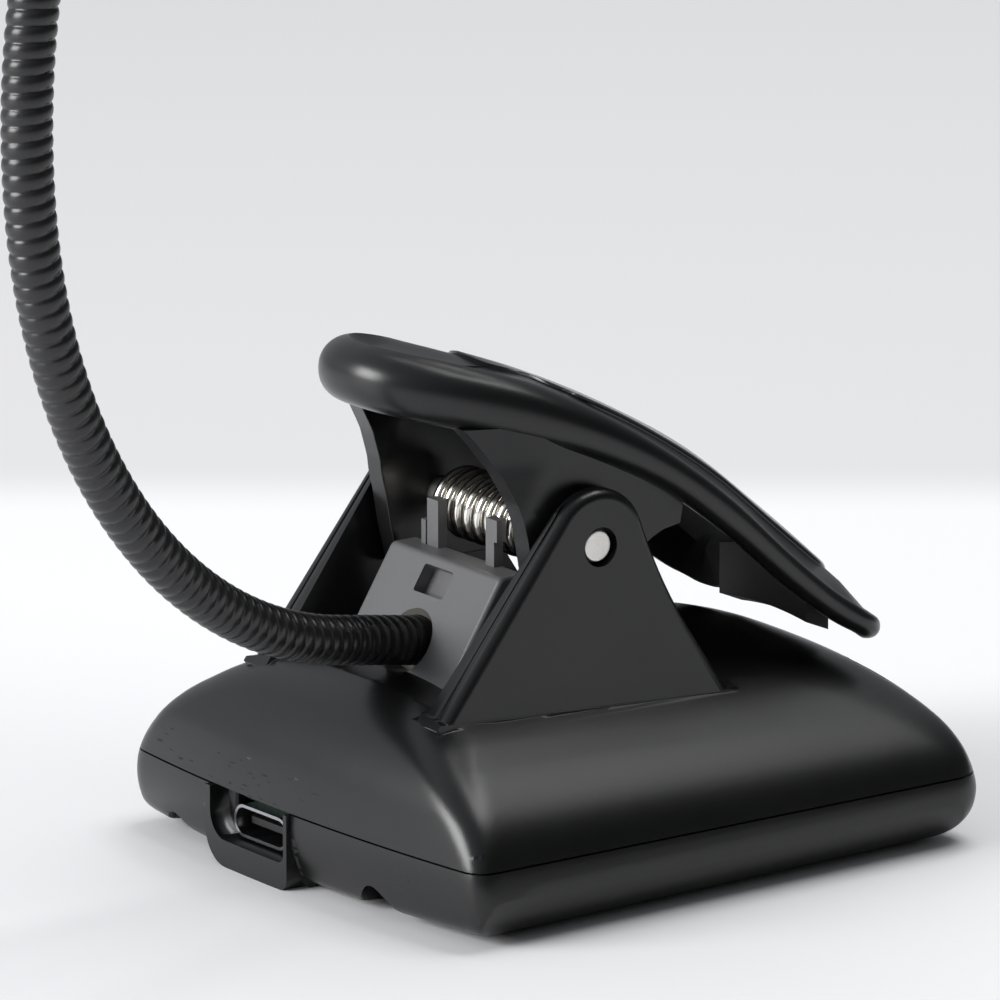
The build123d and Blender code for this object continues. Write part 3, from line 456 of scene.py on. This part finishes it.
spine_in, shift_depth, spine_depth, deepest = 9.0, 4.0, 15.0, 14.9
spine = np.stack([np.clip(rim[:, 0], lever_end + spine_in, lever_tip - spine_in), 0 * rim[:, 1]], -1)


def ring_at(depth):
    """The rim's outline moved inwards by depth mm, and past 4 mm drawn towards the spine."""
    edge = rim + inward * min(depth, shift_depth)
    share = max(0.0, depth - shift_depth) / (spine_depth - shift_depth)
    return edge * (1.0 - share) + spine * share


side_half = (eased(rim[:, 0], 2) - eased(rim[:, 0], 1)) / 2
side_middle = (eased(rim[:, 0], 2) + eased(rim[:, 0], 1)) / 2 + crown(rim[:, 0], rim[:, 1])
bulge = np.interp(rim[:, 0], (-27.0, -8.0, 8.0, 30.0), (3.2, 3.0, 1.7, 1.3))


def level_of(flat, heights):
    """A closed row of points from their places and heights."""
    return np.concatenate([flat, heights[:, None]], 1)


levels = []
for depth in np.linspace(deepest, shift_depth, 16):
    flat = ring_at(depth)
    levels.append(level_of(flat, back(flat[:, 0], flat[:, 1])))
for angle in np.radians(np.linspace(84.0, -90.0, 24)):
    flat = rim + inward * (bulge * (1.0 - np.cos(angle)))[:, None]
    soft = np.sign(np.sin(angle)) * abs(np.sin(angle)) ** 0.9
    levels.append(level_of(flat, side_middle + side_half * soft))
for depth in (0.6, 1.0):
    flat = rim + inward * (bulge + depth - 0.3)[:, None]
    levels.append(level_of(flat, side_middle - side_half * (1.0 - 0.7 * (depth - 0.6))))
for depth in (5.0, 8.0, 11.0, deepest):
    flat = ring_at(depth)
    levels.append(level_of(flat, back(flat[:, 0], flat[:, 1]) - wall_thick))
mesh = bmesh.new()
rings = [[mesh.verts.new(tuple(p / 1000.0)) for p in level] for level in levels]
band(mesh, rings)
mesh.faces.new(rings[0])
mesh.faces.new(reversed(rings[-1]))
lever_look = moulded("lever_black", (0.0065, 0.0067, 0.0072), 0.30)
moulding = combined("lever_moulding", solid_from("lever_moulding", mesh))

# The cheeks' edges: heights, and where the edge stands at each
front_edge = ((26.6, 31.0, 34.5, 38.0, 41.0, 44.0, 47.0), (-12.2, -13.3, -13.9, -14.8, -16.2, -18.2, -20.6))
rear_edge = ((26.6, 30.0, 33.4, 35.2, 36.4, 40.0, 47.0), (-2.0, -0.6, 0.4, 2.4, 4.4, 4.8, 4.8))
cheek_foot, cheek_top, cheek_out, cheek_thick = 26.8, 45.6, 12.8, 2.3
cheek_rows, cheek_columns = 30, 26
splay_below, splay = 42.0, 0.12
pin_x, pin_z, pin_bore = -0.0073, 0.0334, 0.00163


def joined(mesh, first, second):
    """Faces between two rows of points."""
    for i in range(len(first) - 1):
        mesh.faces.new((first[i], first[i + 1], second[i + 1], second[i]))


for side, sign in (("near", -1), ("far", 1)):
    mesh = bmesh.new()
    grids = []
    for inset in (0.0, cheek_thick):
        grid = []
        for share in np.linspace(0.0, 1.0, cheek_rows):
            nominal = cheek_foot + (cheek_top - cheek_foot) * share
            fore, aft = np.interp(nominal, *front_edge), np.interp(nominal, *rear_edge)
            row = []
            for x in np.linspace(fore, aft, cheek_columns):
                top = min(cheek_top, float(back(x, 11.0)) - 1.2)
                free = float(half_width(x)) - 0.5 + splay * max(0.0, splay_below - nominal)
                place = (x, sign * (min(cheek_out, free) - inset), cheek_foot + (top - cheek_foot) * share)
                row.append(mesh.verts.new(tuple(c / 1000.0 for c in place)))
            grid.append(row)
        grids.append(grid)
    for grid in grids:
        for low, high in zip(grid, grid[1:]):
            joined(mesh, low, high)
    for edge in (-1, 0):
        joined(mesh, grids[0][edge], grids[1][edge])
        joined(mesh, [row[edge] for row in grids[0]], [row[edge] for row in grids[1]])
    bore = [Vector((pin_x, y, pin_z)) for y in (-0.02, -0.01, 0.0, 0.01, 0.02)]
    hole = tube("hole", bore, pin_bore, 48)
    cheek = combined("lever_cheek_" + side, solid_from("cheek", mesh), [("DIFFERENCE", hole)])
    edge = cheek.modifiers.new("edge", "BEVEL")
    edge.width, edge.segments, edge.limit_method = 0.0005, 4, "ANGLE"
    cheek.data.materials.append(lever_look)
    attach(cheek, "lever")
    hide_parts("lever_shell")
moulding.data.materials.append(lever_look)
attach(moulding, "lever")
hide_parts("lever_shell")


def patch(name, places, low, high, look):
    """A plate over a grid of places, its underside and upper side given as heights in mm."""
    mesh = bmesh.new()
    sides = [[[mesh.verts.new((x / 1000.0, y / 1000.0, float(level(x, y)) / 1000.0)) for x, y in row]
              for row in places] for level in (low, high)]
    for grid in sides:
        for low_row, high_row in zip(grid, grid[1:]):
            for i in range(len(low_row) - 1):
                mesh.faces.new((low_row[i], high_row[i], high_row[i + 1], low_row[i + 1]))
    for end in (0, -1):
        joined(mesh, sides[0][end], sides[1][end])
    for end in (0, -1):
        joined(mesh, *[[row[end] for row in grid] for grid in sides])
    made = combined(name, solid_from(name, mesh))
    made.data.materials.append(look)
    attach(made, "lever")
    return made


plate_nose, nose_long, plate_tail, tail_long, plate_wide = -9.5, 6.0, 26.5, 5.0, 11.4
plate_in, plate_proud, plate_edge = 0.5, 0.05, 0.38


def plate_half(x):
    """Half the plate's width at x, round at the nose and tapered at the tail."""
    nose = np.clip((x - plate_nose) / nose_long, 0.0, 1.0)
    tail = np.clip((plate_tail - x) / tail_long, 0.0, 1.0)
    return plate_wide * (1.0 - (1.0 - nose) ** 2.4) ** 0.5 * (1.0 - (1.0 - tail) ** 2.4) ** 0.4


def plate_top(x, y):
    """Height of the plate's face, which stands proud of the lever with a softened edge."""
    rim_share = min(1.0, max(0.0, 1.0 - abs(y) / (plate_half(x) + 1e-6)) / 0.05)
    return back(x, y) + plate_proud + plate_edge * rim_share ** 0.5


plate_xs = np.concatenate([plate_nose + nose_long * np.linspace(0.02, 1.0, 14) ** 2,
                           np.linspace(plate_nose + nose_long, 21.0, 30),
                           plate_tail - tail_long * np.linspace(0.95, 0.02, 10) ** 2])
plate_turns = np.linspace(-np.pi / 2, np.pi / 2, 24)
plate_grid = [[(x, plate_half(x) * t) for t in np.sin(plate_turns)] for x in plate_xs]
cover = patch("lever_plate", plate_grid, lambda x, y: back(x, y) - plate_in, plate_top,
              moulded("plate_black", (0.008, 0.0083, 0.009), 0.20, 0.08))
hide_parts("lever_panel")
pad_from, pad_to, pad_side, pad_face, pad_slope = 24.4, 27.2, 7.0, 19.65, 0.42
pad_grid = [[(x, y) for y in np.linspace(-pad_side, pad_side, 12)] for x in np.linspace(pad_from, pad_to, 8)]
pad = patch("jaw_rubber", pad_grid, lambda x, y: pad_face - pad_slope * (x - 24.1) - 0.01 * y * y,
            lambda x, y: back(x, y) - 1.9,
            moulded("pad_rubber", (0.012, 0.012, 0.012), 0.75, 0.6, 2600.0))
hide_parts("jaw_pad")

# The neck block between the ears: a black moulding with a coarser grain, its colour painted a
# greyer black as painted sheen for the light that its sloping faces catch. Two prongs on top
# guard the spring, and the neck's end sits in its socket.
dress(moulded("block_black_painted_sheen", (0.12, 0.12, 0.123), 0.40, 0.5, 4200.0), "neck_block")


# The pivot pin: a turned steel rod across both ears, its flat ends bright with fine turning rings.
def metal(name, shade, rough, bands=0.0, around=(0, 0, 0), along="Y"):
    """Bare or plated metal, with faint scratches and, where asked, turning rings round an axis."""
    look, tree = blank(name)
    place = node(tree, "NewGeometry", {})
    worn = node(tree, "TexNoise", {}, place, None, 700.0, 3.0, 0.6)
    fine = node(tree, "TexNoise", {}, place, None, 5200.0, 2.0, 0.5)
    height = fine * 0.4
    if bands:
        spot = node(tree, "VectorMath", {"operation": "SUBTRACT"}, place, tuple(around))
        rings = node(tree, "TexWave", {"wave_type": "RINGS", "rings_direction": along}, spot, bands, 0.6)
        height = height + rings
    bump = node(tree, "Bump", {}, 0.25, 0.00002, Height=height)
    tint = between(tree, worn, (*[c * 0.86 for c in shade], 1), (*shade, 1))
    finish(tree, Base_Color=tint, Metallic=1.0, Roughness=fine * 0.12 + (rough - 0.05), Normal=bump)
    return look


pin_axis = Vector((pin_x, 0.0, pin_z))
dress(metal("pin_steel", (0.86, 0.84, 0.80), 0.42, 900.0, pin_axis), "pivot_pin")

# Small screws that hold the casing, the board, the block and the head: zinc-plated steel.
dress(metal("screw_zinc", (0.34, 0.35, 0.37), 0.38), "casing_screws", "neck_block_screws",
      "charge_board_screws", "head_screws")
dress(metal("ferrule_blackened", (0.035, 0.033, 0.03), 0.45), "neck_ferrule")


# The torsion spring: nickel-plated wire wound round the pin, with one leg behind the block and
# the other up against the lever.
spring_mean, spring_pitch, spring_wire = 0.002975, 0.0017, 0.0006
spring_far, spring_turns = 0.00685, 9
base_leg, lever_leg = 0.0032, 0.0112


def on_coil(turns):
    """Place on the coil's centre line, a number of turns from its far end."""
    angle = 2 * math.pi * turns
    return pin_axis + Vector((-spring_mean * math.cos(angle), spring_far - spring_pitch * turns,
                              spring_mean * math.sin(angle)))


coil_steps = 430
coil = [on_coil(k * spring_turns / coil_steps) for k in range(coil_steps + 1)]
wire = [coil[0] + Vector((0, 0, -base_leg * k / 6)) for k in range(6, 0, -1)] + coil
leg_way = (coil[-1] - coil[-2]).normalized()
wire += [coil[-1] + leg_way * (lever_leg * k / 16) for k in range(1, 17)]
spring = tube("torsion_spring_wire", wire, spring_wire, 18)
spring.data.materials.append(metal("spring_nickel", (0.84, 0.81, 0.75), 0.16))
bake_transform(spring)
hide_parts("torsion_spring")

# The gooseneck: black wire wound into a long ribbed tube that holds whatever curve it is given.
# Its skin is laid in pieces that overlap the joints.
neck_root = Vector((-0.018, 0.0, 0.0225))
neck_turn, neck_lift = math.radians(16.0), math.radians(12.0)
neck_spans = ((0.0125, 0.0), (0.070, 1000.0), (0.1225, 850.0), (1.0, 0.0))
neck_joints = (0.009, 0.0345, 0.060, 0.0855, 0.111, 0.1365, 0.162, 0.1875)
neck_inner, neck_end = -0.004, 0.2175
rib_pitch, rib_crest, rib_root = 0.0015, 0.00245, 0.00212
rib_steps, rib_sides = 9, 44
across_neck = Vector((-math.sin(neck_turn), math.cos(neck_turn), 0.0))


def on_neck(t):
    """Place and heading on the neck's centre line, t metres from the block's mouth."""
    angle, inside, left = neck_lift, min(t, 0.0), max(t, 0.0)
    out, rise = inside * math.cos(neck_lift), inside * math.sin(neck_lift)
    for length, bend in neck_spans:
        run = min(left, length)
        swing = math.radians(bend * run)
        if bend:
            radius = math.degrees(1.0) / bend
            out += radius * (math.sin(angle + swing) - math.sin(angle))
            rise += radius * (math.cos(angle) - math.cos(angle + swing))
        else:
            out += run * math.cos(angle)
            rise += run * math.sin(angle)
        angle += swing
        left -= run
    flat = Vector((-math.cos(neck_turn), -math.sin(neck_turn), 0.0))
    return (neck_root + flat * out + Vector((0, 0, rise)),
            flat * math.cos(angle) + Vector((0, 0, math.sin(angle))))


def neck_skin(name, start, stop):
    """Ribbed skin between two places: one rounded rib that winds round the tube like a thread."""
    steps = round((stop - start) / rib_pitch * rib_steps)
    mesh = bmesh.new()
    rings = []
    for k in range(steps + 1):
        t = start + (stop - start) * k / steps
        place, ahead = on_neck(t)
        side = ahead.cross(across_neck)
        ring = []
        for i in range(rib_sides):
            angle = 2 * math.pi * i / rib_sides
            phase = (t / rib_pitch - i / rib_sides) % 1.0
            lift_by = math.sqrt(max(0.0, 1.0 - (2.0 * phase - 1.0) ** 2))
            size = rib_root + (rib_crest - rib_root) * lift_by
            way = across_neck * math.cos(angle) + side * math.sin(angle)
            ring.append(mesh.verts.new(place + way * size))
        rings.append(ring)
    band(mesh, rings)
    return shown(name, mesh)


neck_look, tree = blank("neck_black")
place = node(tree, "NewGeometry", {})
flecks = node(tree, "TexNoise", {}, place, None, 2600.0, 2.0, 0.6)
rub = node(tree, "TexNoise", {}, place, None, 300.0, 2.0, 0.6)
bump = node(tree, "Bump", {}, 0.15, 0.00002, Height=flecks)
tint = between(tree, rub, (0.008, 0.008, 0.0085, 1), (0.015, 0.015, 0.016, 1))
finish(tree, Base_Color=tint, Roughness=flecks * 0.12 + 0.24, Normal=bump)
bodies = ["clip"] + ["neck_%d" % k for k in range(2, 9)] + ["lamp_head"]
ends = [neck_inner] + list(neck_joints) + [neck_end]
middles = [(a + b) / 2 for a, b in zip(ends, ends[1:])]
for k in range(10):
    start = neck_inner if k == 0 else middles[k - 1]
    stop = neck_end - 0.0002 if k == 9 else middles[k]
    skin = neck_skin("neck_skin_%d" % (k + 1), start, stop)
    skin.data.materials.append(neck_look)
    if k in (0, 9):
        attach(skin, bodies[0 if k == 0 else 8])
    else:
        joint = neck_joints[k - 1]
        reach = min(joint - start, stop - joint) * 0.96
        on_neck(joint - reach)[0]
        on_neck(joint + reach)[0]
        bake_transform(skin)
    if k < 9:
        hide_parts("neck_length_%d" % (k + 1))

# The cable and leads inside the neck and the casing: soft insulated wire, black and red.
rubbery = moulded("cable_black", (0.012, 0.012, 0.012), 0.6, 0.2)
dress(rubbery, "lamp_lead", *["lamp_cable_%d" % k for k in range(1, 10)])
dress(moulded("lead_red", (0.42, 0.02, 0.02), 0.5, 0.2), "battery_leads")

# The charging port: a drawn steel shell with a black tongue, held on the charging board. The
# shell's steel is painted darker than bright steel, as painted shade for the dark inside of the port.
dress(metal("port_steel", (0.45, 0.45, 0.47), 0.22), "port_shell")
dress(moulded("tongue_black", (0.01, 0.01, 0.01), 0.35, 0.1), "port_tongue")


# The charging board, its packages and the lamp's board: green and white solder mask, black
# moulded packages, yellow phosphor over the light chips.
def board_look(name, shade, line):
    """Solder mask over a pattern of copper tracks, in the colour of each."""
    look, tree = blank(name)
    place = node(tree, "NewGeometry", {})
    weave = node(tree, "TexNoise", {}, place, None, 3000.0, 2.0, 0.5)
    tracks = node(tree, "TexBrick", {"offset": 0.5}, place, None, None, None, 420.0, 0.03, out=1)
    tint = between(tree, tracks, (*shade, 1), (*line, 1))
    finish(tree, Base_Color=tint, Roughness=weave * 0.15 + 0.3)
    return look


dress(board_look("board_green", (0.003, 0.016, 0.008), (0.006, 0.03, 0.014)), "charge_board")
dress(board_look("board_white", (0.80, 0.81, 0.80), (0.70, 0.72, 0.70)), "led_board")
dress(moulded("package_black", (0.02, 0.02, 0.021), 0.45), "charge_board_parts", "head_switches")
dress(moulded("phosphor", (0.85, 0.66, 0.12), 0.35, 0.1), "leds")

# The battery: a pouch of bright foil on a pad of white foam tape.
dress(metal("pouch_foil", (0.78, 0.78, 0.80), 0.30), "battery_cell")
dress(moulded("foam_white", (0.78, 0.78, 0.76), 0.8, 0.5, 2000.0), "battery_tape")

# The lamp head: two black shells screwed together round a milky diffuser, a rubber collar where
# the neck enters, and two push buttons on top. It is outside the picture, so its form is a guess.
head_look = moulded("head_black", (0.014, 0.0145, 0.016), 0.40)
dress(head_look, "head_cover", "head_tray")
dress(moulded("collar_rubber", (0.012, 0.012, 0.012), 0.7, 0.5, 2600.0), "head_collar")
dress(moulded("button_grey", (0.05, 0.05, 0.052), 0.45), "power_button", "level_button")
dress(moulded("diffuser_white", (0.86, 0.86, 0.84), 0.45, 0.15), "head_diffuser")
